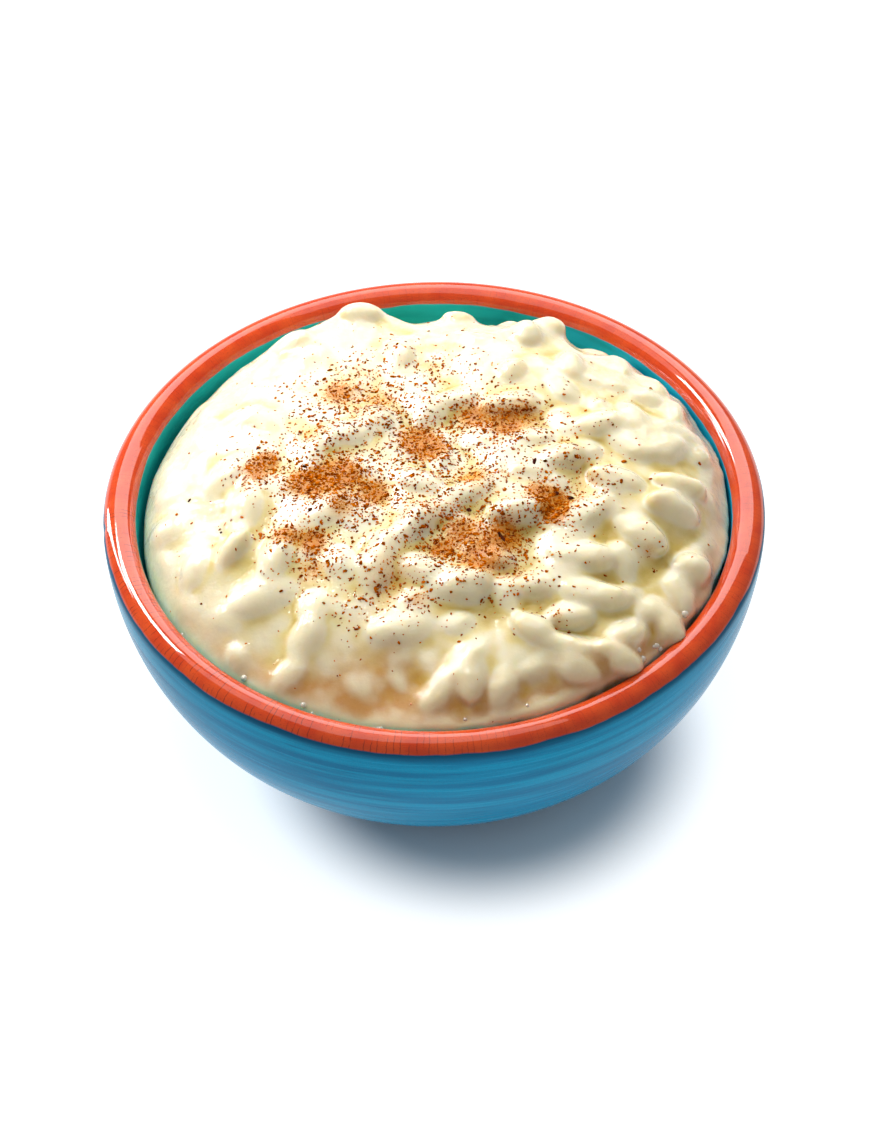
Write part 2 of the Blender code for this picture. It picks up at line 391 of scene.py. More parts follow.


# %% [markdown]
# Some grains are listed one by one, where they stand out of the heap.  The others
# are thrown at it like darts: a dart that lands too close to an earlier one is
# thrown again, so the grains crowd without lying inside each other.

# %% Place the grains
# x, y, direction in degrees, length, width and lift, in millimetres
GRAINS_BY_HAND = (
    (6.0, -45.0, 85, 11.5, 5.8, 1.6),
    (11.5, -46.5, 70, 10.0, 6.6, 0.6),
    (18.0, -43.0, 20, 9.5, 6.0, 0.4),
    (24.0, -39.5, -12, 14.5, 5.2, 0.9),
    (32.0, -40.5, -30, 10.5, 5.6, 1.5),
    (-6.0, -36.0, 10, 13.0, 6.6, 0.7),
    (-23.0, -36.5, 60, 9.5, 6.0, 1.0),
    (-26.0, -42.0, 40, 8.5, 5.2, 0.8),
    (-30.0, -27.0, 15, 14.0, 8.0, 0.6),
    (-21.5, -31.0, 80, 8.5, 6.0, 0.6),
    (-43.0, -17.0, 60, 10.0, 6.0, 0.5),
    (-34.0, -9.5, 80, 12.0, 7.0, 0.6),
    (-37.5, 0.5, 45, 11.0, 6.6, 0.6),
    (-35.0, 14.0, 20, 10.0, 6.4, 0.5),
    (-18.5, -9.5, 70, 9.5, 6.4, 0.7),
    (-16.0, 8.0, 10, 12.0, 7.0, 0.8),
    (-4.0, -15.0, 55, 11.0, 7.0, 1.0),
    (-10.5, -24.5, 90, 10.5, 7.0, 0.9),
    (-3.0, -4.0, -35, 12.0, 6.0, 0.8),
    (6.0, -7.0, 35, 10.0, 5.6, 0.7),
    (15.0, -12.0, 12, 12.5, 6.4, 1.8),
    (4.0, -28.0, 5, 12.5, 8.0, 1.1),
    (18.0, -28.0, 0, 10.0, 6.0, 0.5),
    (27.0, -29.0, -8, 14.0, 6.8, 0.9),
    (27.0, -12.0, 30, 12.5, 7.0, 0.9),
    (25.5, -21.5, 0, 13.5, 7.0, 0.8),
    (22.0, 1.0, 15, 10.5, 6.2, 0.7),
    (33.0, -4.0, -20, 12.0, 6.8, 0.9),
    (36.5, -15.0, -30, 12.0, 6.8, 0.9),
    (44.5, -2.5, 0, 11.0, 5.8, 1.2),
    (43.0, -8.5, -5, 12.0, 6.6, 1.2),
    (46.0, -18.5, 25, 8.5, 6.0, 0.9),
    (43.5, -25.5, -60, 10.0, 6.0, 0.9),
    (38.5, -30.0, 20, 8.5, 6.0, 0.6),
    (31.0, 10.0, 10, 13.5, 7.0, 0.8),
    (36.0, 5.0, -30, 10.5, 6.0, 0.7),
    (14.5, 23.0, 60, 8.5, 5.4, 0.9),
    (15.0, 15.0, 10, 12.5, 7.0, 0.8),
    (5.5, 17.0, 20, 10.5, 6.0, 0.6),
    (-13.0, 43.5, 20, 9.5, 6.4, 0.0),
    (5.5, 43.5, 30, 7.5, 5.4, 0.7),
    (21.0, 40.5, -10, 9.5, 6.0, 0.2),
    (31.0, 36.5, 30, 8.0, 5.6, 0.4),
    (-27.0, 36.0, -15, 10.0, 6.6, 0.1),
    (46.0, -20.0, 35, 8.5, 6.2, 1.5),
    (41.0, -32.0, -50, 9.5, 6.4, 1.4),
    (33.5, -36.0, 30, 9.0, 6.2, 1.2),
    (24.0, -43.0, -15, 10.0, 6.0, 1.2),
)
CLOSEST = 5.6 * MM
THROWS = 1500
EDGE_ROOM = 3.2 * MM


def throw_grains(seed):
    """Random grains round the listed ones, as rows of the same form."""
    chance = random.Random(seed)
    rows = [list(row) for row in GRAINS_BY_HAND]
    places = [Vector((row[0], row[1])) * MM for row in rows]
    for _ in range(THROWS):
        reach = (INNER_RADIUS - EDGE_ROOM) * math.sqrt(chance.random())
        turn = chance.uniform(-math.pi, math.pi)
        place = Vector((reach * math.cos(turn), reach * math.sin(turn)))
        length = chance.gauss(9.0, 1.8)
        width = chance.gauss(5.6, 0.8)
        lie = chance.uniform(0, 180)
        lift = chance.gauss(-0.3, 0.8)
        if min((place - other).length for other in places) < CLOSEST:
            continue
        places.append(place)
        rows.append([place.x / MM, place.y / MM, lie, length, width, lift])
    return rows


grain_rows = throw_grains(21)
print("grains in the heap:", len(grain_rows))


# %% Copy the grain to every place
def surface_slope(x, y, step=1.5 * MM):
    """The heap's slope: the direction that points straight out of it."""
    dx = float(heap_height(x + step, y) - heap_height(x - step, y)) / (2 * step)
    dy = float(heap_height(x, y + step) - heap_height(x, y - step)) / (2 * step)
    return Vector((-dx, -dy, 1)).normalized()


def grain_place(row, chance, sink=0.30):
    """Matrix that lays a grain on the heap, sunk by part of its width."""
    x, y, lie, length, width, lift = row
    at = Vector((x * MM, y * MM, float(heap_height(x * MM, y * MM))))
    up = surface_slope(at.x, at.y)
    along = Vector((math.cos(math.radians(lie)), math.sin(math.radians(lie)), 0))
    along = (along - up * along.dot(up)).normalized()
    tilt = Matrix.Rotation(chance.uniform(-0.22, 0.22), 3, up.cross(along))
    along = tilt @ along
    side = up.cross(along).normalized()
    up = along.cross(side)
    at += up * (lift - sink * width) * MM
    turn = Matrix((along, side, up)).transposed().to_4x4()
    size = Matrix.Diagonal((length * MM, width * MM, width * 0.9 * MM, 1))
    return Matrix.Translation(at) @ turn @ size


def copy_to(form, name, places):
    """Copies of a form at many places, joined: each keeps its own points."""
    base = read_points(form)
    loops = np.array([list(p.vertices) for p in form.data.polygons if len(p.vertices) == 4])
    thirds = np.array([list(p.vertices) for p in form.data.polygons if len(p.vertices) == 3])
    points = []
    faces = []
    for number, place in enumerate(places):
        matrix = np.array(place)
        points.append(base @ matrix[:3, :3].T + matrix[:3, 3])
        shift = number * len(base)
        if len(loops):
            faces += (loops + shift).tolist()
        if len(thirds):
            faces += (thirds + shift).tolist()
    mesh = bpy.data.meshes.new(name)
    mesh.from_pydata(np.concatenate(points).tolist(), [], faces)
    mesh.update()
    piece = bpy.data.objects.new(name, mesh)
    bpy.context.scene.collection.objects.link(piece)
    return piece


chance = random.Random(5)
coated = copy_to(grain_form, "coated_grains", [grain_place(r, chance) for r in grain_rows])
print("coated grains:", len(coated.data.polygons), "faces")

# %% [markdown]
# ## Cream over everything
# A voxel remesh melts core and grains into one skin, as cream does, and a few
# rounds of smoothing soften its creases.  Separate grains under a sheet of
# cream would need far more faces.  The hidden slab below is cut flat with one
# bisect, so that the fine mesh is spent where it shows.

# %% Melt core and grains together
def use_modifier(piece, kind, **settings):
    """Adds a modifier, applies it at once and returns the piece."""
    deselect()
    piece.select_set(True)
    bpy.context.view_layer.objects.active = piece
    modifier = piece.modifiers.new(kind.lower(), kind)
    for name, value in settings.items():
        setattr(modifier, name, value)
    bpy.ops.object.modifier_apply(modifier=modifier.name)
    return piece


def join(pieces, name):
    deselect()
    for piece in pieces:
        piece.select_set(True)
    bpy.context.view_layer.objects.active = pieces[0]
    bpy.ops.object.join()
    pieces[0].name = name
    return pieces[0]


VOXEL = 0.52 * MM
pudding = join([core, coated], "creamy_pudding")
use_modifier(pudding, "REMESH", mode="VOXEL", voxel_size=VOXEL)
use_modifier(pudding, "SMOOTH", factor=0.5, iterations=12)
bpy.ops.object.mode_set(mode="EDIT")
bpy.ops.mesh.select_all(action="SELECT")
bpy.ops.mesh.bisect(plane_co=(0, 0, SLAB_BOTTOM + 1.5 * MM), plane_no=(0, 0, 1),
                    use_fill=True, clear_inner=True)
bpy.ops.object.mode_set(mode="OBJECT")
print("pudding faces:", len(pudding.data.polygons))


# %% [markdown]
# ## Cream runs together
# Thick cream pools in the creases and leaves the tops standing.  A smoother
# copy of the skin tells which is which: a point that lies below its smoothed
# place is in a hollow, and is filled; a point above it is on a lump, and is
# shaved a little, more to the left, where the coat of cream is thickest.

# %% Tools for the skin
def smooth_values(values, edges, rounds):
    """Averages values with their neighbours' along the mesh's edges."""
    count = np.bincount(edges.ravel(), minlength=len(values)).astype(float)
    count = np.maximum(count, 1)
    flat = values.reshape(len(values), -1)
    for _ in range(rounds):
        total = np.zeros_like(flat)
        for axis in range(flat.shape[1]):
            total[:, axis] = (
                np.bincount(edges[:, 0], weights=flat[edges[:, 1], axis], minlength=len(flat))
                + np.bincount(edges[:, 1], weights=flat[edges[:, 0], axis], minlength=len(flat)))
        flat = 0.3 * flat + 0.7 * total / count[:, None]
    return flat.reshape(values.shape)


def read_edges(piece):
    edges = np.empty(len(piece.data.edges) * 2, dtype=np.int64)
    piece.data.edges.foreach_get("vertices", edges)
    return edges.reshape(-1, 2)


def read_normals(piece):
    normals = np.empty(len(piece.data.vertices) * 3)
    piece.data.vertices.foreach_get("normal", normals)
    return normals.reshape(-1, 3)


def below(lower, upper, normals):
    """How far the first skin lies below the second, along the normals."""
    return np.sum((upper - lower) * normals, axis=1)


# %% [markdown]
# Rice bursts a little as it cooks, so no grain is a true egg.  Before the cream
# is poured, two sizes of slow noise push the skin in and out, less to the left.

# %% Make the grains uneven
# wave length and height in millimetres, and the noise's own number
KNOBS = ((4.2, 0.60, 3), (1.9, 0.28, 4))

links = read_edges(pudding)
way_out = read_normals(pudding)
rough_skin = read_points(pudding)
knobbly = sum(rise * MM * slow_noise(rough_skin, size * MM, seed)
              for size, rise, seed in KNOBS)
knobbly *= np.clip((rough_skin[:, 0] + 50 * MM) / (55 * MM), 0.35, 1)
rough_skin += way_out * knobbly[:, None]
print("grains pushed out by up to", round(float(knobbly.max()) / MM, 2), "mm")

# %% [markdown]
# Now the cream: most of each crease is filled, and the tops are shaved by the
# share that the coat is thick there.

# %% Fill the creases with cream
FILL = 0.85
CREASE_ROUNDS = 80
BASIN_ROUNDS = 220

smoother = smooth_values(rough_skin, links, CREASE_ROUNDS)
broader = smooth_values(smoother, links, BASIN_ROUNDS)
crease = below(rough_skin, smoother, way_out)
basin = below(smoother, broader, way_out)
thick_coat = np.clip(0.42 - rough_skin[:, 0] / (60 * MM), 0.10, 0.75)
shift = FILL * np.maximum(crease, 0) + thick_coat * np.minimum(crease, 0)
poured = rough_skin + way_out * shift[:, None]
write_points(pudding, smooth_values(poured, links, 5))
print("deepest crease filled:", round(float(crease.max()) / MM, 2), "mm")


# %% [markdown]
# Smoothing pulls the skin off the wall a little, and grains may poke through
# it.  Points beyond the wall are drawn back to it, and nothing may rise above
# the solid's top.

# %% Fit the skin to the bowl
def fit_to_bowl(piece):
    points = read_points(piece)
    reach = np.hypot(points[:, 0], points[:, 1])
    over = points[:, 2] - RIM_LEVEL
    lift = np.clip(over / RIM_RISE, 0, 1)
    middle = BOWL_RADIUS - RIM_WIDTH / 2
    rim_wall = middle - RIM_WIDTH / 2 * np.sqrt(1 - lift ** 2)
    wall = np.where(over > 0, rim_wall,
                    wall_radius(INNER_RADIUS, INNER_DEPTH, points[:, 2]))
    limit = np.where(over > RIM_RISE, INNER_RADIUS + 2 * MM, wall - 0.05 * MM)
    squeeze = np.minimum(1, limit / np.maximum(reach, MM))
    points[:, :2] *= squeeze[:, None]
    points[:, 2] = np.minimum(points[:, 2], heap_high.z - 0.1 * MM)
    write_points(piece, points)


fit_to_bowl(pudding)
bpy.ops.object.shade_smooth()
print("pudding's top:", round(max(v.co.z for v in pudding.data.vertices) / MM, 1), "mm")


# %% [markdown]
# ## Where shade is painted on the cream
# In the hollows and on the steep sides of the lumps a buttery painted shade goes
# into the cream's colour, and the tops stay pale.  Along the front of the wall
# thin milk stands between the lumps, and the same mark paints a brown shade on
# the front slope and a painted shadow in a hollow left of the middle.  Painting
# the marks by hand would miss the hollows, so they are measured from the skin.

# %% Mark hollows and steep sides for painted shade
# This mark sets where buttery shade is painted into the cream's colour.
hollow_shade = (crease + 0.6 * basin) / MM
write_mark(pudding, "hollow_shade", hollow_shade)
print("hollow from", round(hollow_shade.min(), 2), "to", round(hollow_shade.max(), 2), "mm")

skin = read_points(pudding)
smooth_out = smooth_values(way_out, links, CREASE_ROUNDS)
smooth_out /= np.linalg.norm(smooth_out, axis=1)[:, None]
# This mark sets where shade is painted on the sides of the lumps.
lump_side_shade = 1 - np.sum(read_normals(pudding) * smooth_out, axis=1)
write_mark(pudding, "lump_side_shade", np.clip(lump_side_shade * 4, 0, 1))

# %% Mark thin milk and painted shade at the front
# Brown shade is painted on the front side, away from the back light, and a painted shadow in a
# hollow there.
SHADED_FRONT_SIDE = math.radians(-88)
MILK_RING = 52 * MM
FRONT_WIDER = 7 * MM
RING_BLUR = 5 * MM
SHADOW_POOL_X, SHADOW_POOL_Y = -11 * MM, -43.5 * MM
SHADOW_POOL_LENGTH, SHADOW_POOL_WIDTH = 11 * MM, 4.5 * MM

turn = np.arctan2(skin[:, 1], skin[:, 0])
reach = np.hypot(skin[:, 0], skin[:, 1])
front = np.clip(np.cos(turn - SHADED_FRONT_SIDE), 0, 1)
ring = np.clip((reach - MILK_RING + FRONT_WIDER * front) / RING_BLUR, 0, 1)
shadow_pool = np.exp(-((skin[:, 0] - SHADOW_POOL_X) ** 2 / SHADOW_POOL_LENGTH ** 2
                + (skin[:, 1] - SHADOW_POOL_Y) ** 2 / SHADOW_POOL_WIDTH ** 2))
# Thin milk by the rim, mixed with painted shade that is strongest at the front, grows in creases
# and fades on the lumps.
thin = np.clip(ring * (0.25 + 0.75 * front) + shadow_pool, 0, 1)
thin *= np.clip(0.80 + crease / (0.7 * MM), 0.2, 1)
write_mark(pudding, "thin", thin)
print("thin milk on", int((thin > 0.5).sum()), "of", len(thin), "points")

# %% [markdown]
# ## Where cinnamon fell
# Cinnamon was pinched over the middle in a few passes.  It lies in drifts: each
# drift has a place, a width and a share of the powder, and a thin scatter lies
# between them.  The same drifts stain the cream under them.

# %% Cinnamon drifts
# x, y, width in millimetres, and share of the powder
DRIFTS = (
    (-16.5, -1.5, 2.6, 10), (-20.0, -3.5, 2.6, 8), (-23.5, -3.5, 2.2, 6),
    (-2.5, 6.5, 2.8, 9), (0.0, 4.0, 2.2, 4), (-10.5, -6.5, 2.4, 6),
    (21.5, -9.0, 1.7, 5), (21.5, -12.5, 1.6, 6), (12.5, -17.5, 2.0, 6),
    (5.0, -16.0, 2.6, 6), (8.0, -22.5, 3.0, 9), (13.5, 9.5, 2.4, 6),
    (7.5, 12.0, 2.2, 5), (-17.5, 19.5, 2.6, 5), (-8.0, 18.0, 3.0, 4),
    (-13.5, 24.5, 3.0, 3), (-32.0, -0.5, 2.0, 4), (-30.0, 2.5, 1.8, 4),
    (-26.5, -15.5, 1.8, 3), (-21.5, -17.0, 1.8, 4), (-21.5, -23.0, 2.4, 3),
    (-7.0, -24.0, 3.4, 3), (-16.5, -10.0, 2.2, 3), (-13.0, 14.0, 3.4, 4),
    (17.5, 12.5, 2.4, 3), (7.5, -3.5, 2.4, 4), (-9.0, -29.0, 3.4, 3),
    (-3.0, -30.5, 1.6, 1), (-1.0, -11.0, 2.4, 2), (1.0, -20.0, 1.6, 3),
    (18.5, -7.5, 1.8, 3), (26.0, 3.5, 3.0, 2), (28.0, -5.0, 2.4, 2),
    (1.5, 24.5, 2.6, 2), (-22.0, 8.0, 2.6, 3), (15.0, -26.0, 2.6, 2),
    (38.0, -19.0, 1.2, 0.5), (21.5, -34.5, 1.0, 0.4), (-14.0, -33.0, 2.6, 1),
)

# The loose scatter round them: x, y and spread in millimetres
SCATTER_X, SCATTER_Y, SCATTER_SPREAD = -1.5, -1.0, 15.5
DRIFT_SPREAD = 1.3


def drift_depth(x, y):
    """How much powder lies at a place, 0 to about 1."""
    depth = np.zeros_like(x)
    for at_x, at_y, width, share in DRIFTS:
        off = ((x / MM - at_x) ** 2 + (y / MM - at_y) ** 2) / width ** 2
        depth += share / width ** 2 * np.exp(-0.6 * off)
    return depth


stain = np.clip(drift_depth(skin[:, 0], skin[:, 1]), 0, 2)
write_mark(pudding, "stain", stain)
print("deepest drift:", round(float(stain.max()), 2))

# %% [markdown]
# ## Cinnamon as real pieces
# Ground cinnamon is bark dust: flat chips, longer than wide, from a fine dust
# up to chips of a millimetre and a half.  Each chip is a copy of one squashed,
# lopsided form of a few faces.  Particles would be quicker to set up, but only
# real meshes stay with the dish when it leaves this scene.

# %% Model one chip
def model_chip(name):
    """A lopsided flat chip, one unit long."""
    deselect()
    bpy.ops.mesh.primitive_ico_sphere_add(subdivisions=1, radius=0.5)
    chip = bpy.context.object
    chip.name = name
    bpy.ops.object.mode_set(mode="EDIT")
    bpy.ops.mesh.select_all(action="SELECT")
    bpy.ops.transform.resize(value=(1.0, 0.62, 0.34))
    bpy.ops.mesh.bisect(plane_co=(0.28, 0, 0), plane_no=(1, 0.5, 0.2),
                        use_fill=True, clear_outer=True)
    bpy.ops.mesh.select_all(action="SELECT")
    bpy.ops.mesh.quads_convert_to_tris()
    bpy.ops.object.mode_set(mode="OBJECT")
    return chip


chip_form = model_chip("cinnamon_chip")
print("faces of one chip:", len(chip_form.data.polygons))

# %% [markdown]
# A ray cast straight down finds where a chip lands and how the skin slopes
# there, so that each chip lies flat on its own bit of cream.

# %% Find where things land
landing = BVHTree.FromPolygons([v.co for v in pudding.data.vertices],
                               [p.vertices for p in pudding.data.polygons])
SKY = 0.1
DEEPEST_LANDING = RIM_LEVEL - 8 * MM
print("skin to land on:", len(pudding.data.polygons), "faces")


def land(x, y):
    """Where something dropped at a place comes to rest, and which way is out."""
    at, out, _, _ = landing.ray_cast(Vector((x, y, SKY)), Vector((0, 0, -1)))
    return at, out


def lie_on(at, out, lie, size, sink, tumble, chance):
    """Matrix that lays a small thing on the skin, turned and tumbled a little."""
    along = Vector((math.cos(lie), math.sin(lie), 0))
    along = (along - out * along.dot(out)).normalized()
    side = out.cross(along)
    spin = Matrix((along, side, out)).transposed()
    tip = Matrix.Rotation(chance.gauss(0, tumble), 3, "Y")
    roll = Matrix.Rotation(chance.gauss(0, tumble), 3, "X")
    grow = Matrix.Diagonal(size).to_4x4()
    place = Matrix.Translation(at - out * sink)
    return place @ (spin @ tip @ roll).to_4x4() @ grow


# %% Choose where the chips fall
def sprinkle_spots(amount, chance, loose):
    """Random places for chips: in the drifts, or in the loose scatter round them."""
    shares = [row[3] for row in DRIFTS]
    spots = []
    for _ in range(amount):
        if chance.random() < loose:
            x = SCATTER_X + chance.gauss(0, SCATTER_SPREAD)
            y = SCATTER_Y + chance.gauss(0, SCATTER_SPREAD)
        else:
            row = chance.choices(DRIFTS, weights=shares)[0]
            x = row[0] + chance.gauss(0, row[2] * DRIFT_SPREAD)
            y = row[1] + chance.gauss(0, row[2] * DRIFT_SPREAD)
        spots.append((x * MM, y * MM))
    return spots


# %% Sprinkle powder and flakes
def sprinkle(name, amount, seed, middle, spread, largest, loose, tumble=0.25):
    """Chips of a log-normal size round a middle size in millimetres."""
    chance = random.Random(seed)
    places = []
    for x, y in sprinkle_spots(amount, chance, loose):
        at, out = land(x, y)
        if at is None or at.z < DEEPEST_LANDING:
            continue
        size = min(middle * math.exp(chance.gauss(0, spread)), largest) * MM
        thin = size * chance.uniform(0.6, 1.1)
        lie = chance.uniform(0, math.pi)
        places.append(lie_on(at, out, lie, (size, thin, size), size * 0.05, tumble, chance))
    piece = copy_to(chip_form, name, places)
    print(name, len(places), "chips,", len(piece.data.polygons), "faces")
    return piece


FEWER = 1
powder = sprinkle("cinnamon_powder", 6100 // FEWER, 31, 0.50, 0.30, 0.9, 0.25)
flakes = sprinkle("cinnamon_flakes", 3000 // FEWER, 32, 0.82, 0.28, 1.5, 0.30, 0.35)

# %% [markdown]
# A few splinters of bark escaped the grinder.  They are larger and nearly
# black, and the eye goes to them, so each is given its own place in a list.

# %% Lay the bark splinters
# x, y, direction in degrees, length and width in millimetres
SPLINTERS = (
    (18.2, -0.5, 80, 2.3, 0.75),
    (20.2, -0.6, 10, 0.8, 0.7),
    (24.5, -8.0, 20, 1.2, 1.0),
    (6.3, -11.2, 15, 1.0, 0.9),
    (12.0, -18.0, -45, 2.2, 0.9),
    (-44.0, -2.0, 40, 0.9, 0.6),
    (-22.0, -10.5, 60, 1.1, 0.8),
    (-1.5, -0.3, 0, 0.8, 0.6),
    (-5.8, 11.2, 20, 1.2, 0.8),
    (-31.5, 6.0, 30, 1.1, 0.6),
    (-23.0, 0.5, -20, 1.0, 0.7),
    (22.0, -7.5, 50, 1.1, 0.8),
    (-38.0, -12.0, 0, 0.6, 0.5),
)


def lay_splinters():
    chance = random.Random(7)
    places = []
    for x, y, lie, length, width in SPLINTERS:
        at, out = land(x * MM, y * MM)
        size = (length * 1.3 * MM, width * 1.6 * MM, width * 1.2 * MM)
        places.append(lie_on(at, out, math.radians(lie), size, 0.0, 0.12, chance))
    return copy_to(chip_form, "cinnamon_bark", places)


bark = lay_splinters()
print("splinters:", len(SPLINTERS))

# %% [markdown]
# ## Bubbles
# Where the milk was stirred against the bowl it holds a few bubbles: half-sunk
# beads with a thin wet film, which catch the light as small sparks.  Some of
# those thrown miss the milk, as the wall is there, and are left out.

# %% Blow bubbles along the rim
BUBBLES_THROWN = 24
BUBBLE_SIDES = (218, 232, 246, 262, 292, 318)
BUBBLE_SINK = 0.22


def blow_bubbles():
    """Half-sunk beads of milk along the front left of the rim."""
    deselect()
    bpy.ops.mesh.primitive_uv_sphere_add(segments=14, ring_count=9, radius=0.5)
    form = bpy.context.object
    chance = random.Random(14)
    places = []
    for _ in range(BUBBLES_THROWN):
        turn = math.radians(chance.choice(BUBBLE_SIDES) + chance.gauss(0, 5))
        reach = INNER_RADIUS - chance.uniform(0.2, 2.2) * MM
        at, out = land(reach * math.cos(turn), reach * math.sin(turn))
        if at is None:
            continue
        size = chance.uniform(0.7, 1.7) * MM
        at.z -= size * BUBBLE_SINK
        places.append(Matrix.Translation(at) @ Matrix.Diagonal((size, size, size * 0.8, 1)))
    bubbles = copy_to(form, "milk_bubbles", places)
    bpy.data.objects.remove(form)
    print("bubbles:", len(places))
    return bubbles


bubbles = blow_bubbles()
bubbles.data.shade_smooth()
print("bubble faces:", len(bubbles.data.polygons))

# %% [markdown]
# The grain and the chip that everything was copied from are no longer needed.

# %% Put the used forms away
for form in (grain_form, chip_form):
    bpy.data.objects.remove(form)


# %% [markdown]
# ## Finishes
# Each finish is built from a few nodes that read the piece's own coordinates,
# so the pattern stays on the piece from every side.  Two small helpers keep
# the recipes short: one adds a node, the other adds a sum, product or curve.

# %% Helpers for the finishes
class Finish:
    """A material's node tree with short calls for what the recipes need."""

    def __init__(self, name):
        self.material = bpy.data.materials.new(name)
        self.material.use_nodes = True
        self.tree = self.material.node_tree
        self.shader = self.tree.nodes["Principled BSDF"]
        self.place = self.add("ShaderNodeTexCoord").outputs["Object"]

    def add(self, kind, **settings):
        node = self.tree.nodes.new(kind)
        for name, value in settings.items():
            setattr(node, name, value)
        return node

    def feed(self, socket, value):
        if isinstance(value, bpy.types.NodeSocket):
            self.tree.links.new(value, socket)
        else:
            socket.default_value = value

    def calc(self, operation, a, b):
        node = self.add("ShaderNodeMath", operation=operation)
        self.feed(node.inputs[0], a)
        self.feed(node.inputs[1], b)
        return node.outputs[0]

    def spread(self, value, low, high, to_low=0.0, to_high=1.0):
        """Maps a value from one range to another, smoothly and clamped."""
        node = self.add("ShaderNodeMapRange", interpolation_type="SMOOTHSTEP")
        for socket, number in zip(node.inputs[:5], (value, low, high, to_low, to_high)):
            self.feed(socket, number)
        return node.outputs[0]

    def mix(self, share, a, b):
        """The first colour, with this share of the second mixed in."""
        node = self.add("ShaderNodeMix", data_type="RGBA")
        self.feed(node.inputs[0], share)
        self.feed(node.inputs[6], a)
        self.feed(node.inputs[7], b)
        return node.outputs[2]

    def cloud(self, size, detail=3.0, stretch=(1, 1, 1), roughness=0.5):
        """Noise from 0 to 1 with lumps of about this size in metres."""
        mapping = self.add("ShaderNodeMapping")
        self.feed(mapping.inputs["Vector"], self.place)
        self.feed(mapping.inputs["Scale"], stretch)
        node = self.add("ShaderNodeTexNoise")
        self.feed(node.inputs["Vector"], mapping.outputs[0])
        self.feed(node.inputs["Scale"], 1 / size)
        self.feed(node.inputs["Detail"], detail)
        self.feed(node.inputs["Roughness"], roughness)
        return node.outputs["Fac"]

    def mark(self, name):
        return self.add("ShaderNodeAttribute", attribute_name=name).outputs["Fac"]

    def bump(self, height, depth, strength):
        node = self.add("ShaderNodeBump")
        self.feed(node.inputs["Height"], height)
        node.inputs["Distance"].default_value = depth
        node.inputs["Strength"].default_value = strength
        return node.outputs["Normal"]

    def set(self, **values):
        for name, value in values.items():
            self.feed(self.shader.inputs[name.replace("_", " ")], value)


def paint(red, green, blue):
    """A colour as mixed on screen, from 0 to 255, made linear for the shader."""
    parts = [part / 255 for part in (red, green, blue)]
    return (*[p / 12.92 if p <= 0.04045 else ((p + 0.055) / 1.055) ** 2.4 for p in parts], 1)


print("mid grey is", [round(c, 3) for c in paint(128, 128, 128)])

# %% [markdown]
# ## Glaze
# The blue outside is brushed on while the wheel turns, so it streaks along the
# turning, and it runs dark and thick just under the rim.  Noise stretched along
# the turning gives streaks without the seam that a wrapped pattern would have.

# %% Blue glaze for the outside
DEEP_BLUE = paint(0, 108, 148)
SEA_BLUE = paint(6, 144, 182)
LIGHT_STREAK = paint(26, 152, 198)
DARK_STREAK = paint(0, 78, 122)
THIN_PATCH = paint(18, 138, 184)
THICK_EDGE = paint(0, 66, 98)
BLUE_SPECK = paint(0, 70, 110)


def brushed_blue(glaze, above, broad, fine):
    """Streaks of two widths, thin patches, a dark edge under the rim and specks."""
    blue = glaze.mix(glaze.spread(broad, 0.34, 0.66), DEEP_BLUE, SEA_BLUE)
    blue = glaze.mix(glaze.spread(fine, 0.56, 0.74, 0, 0.6), blue, LIGHT_STREAK)
    blue = glaze.mix(glaze.spread(fine, 0.44, 0.28, 0, 0.55), blue, DARK_STREAK)
    patch = glaze.cloud(26 * MM, 2)
    blue = glaze.mix(glaze.spread(patch, 0.35, 0.75, 0, 0.3), blue, THIN_PATCH)
    edge = glaze.spread(above, -1.6 * MM, 0.9 * MM, 0, 0.85)
    blue = glaze.mix(edge, blue, THICK_EDGE)
    speck = glaze.cloud(0.22 * MM, 2)
    return glaze.mix(glaze.spread(speck, 0.4, 0.7, 0, 0.18), blue, BLUE_SPECK)


print("blue under the rim:", [round(c, 3) for c in THICK_EDGE])

# %% [markdown]
# The inside is turquoise at the back and sky blue to the right, with faint
# streaks of its own.

# %% Turquoise glaze for the inside
TURQUOISE = paint(28, 172, 178)
SKY_BLUE = paint(26, 166, 206)
DARK_TURQUOISE = paint(0, 126, 138)


def brushed_turquoise(glaze, x):
    right = glaze.spread(x, -10 * MM, 48 * MM)
    inner = glaze.mix(right, TURQUOISE, SKY_BLUE)
    streak = glaze.cloud(2.2 * MM, 3, (0.2, 0.2, 1))
    return glaze.mix(glaze.spread(streak, 0.4, 0.7, 0, 0.4), inner, DARK_TURQUOISE)


print("turquoise:", [round(c, 3) for c in TURQUOISE])

# %% [markdown]
# The rim is red clay under clear glaze.  Glaze shrinks less than clay, so fine
# cracks run straight across the rim: the edges of one-dimensional cells laid
# along the turning, more of them at the front left.

# %% Red clay and its cracks
RED_CLAY = paint(192, 54, 8)
ORANGE_CLAY = paint(206, 72, 20)
CLAY_SPECK = paint(140, 34, 10)
CRACK = paint(96, 22, 10)
CRACKS_ROUND = 46.0


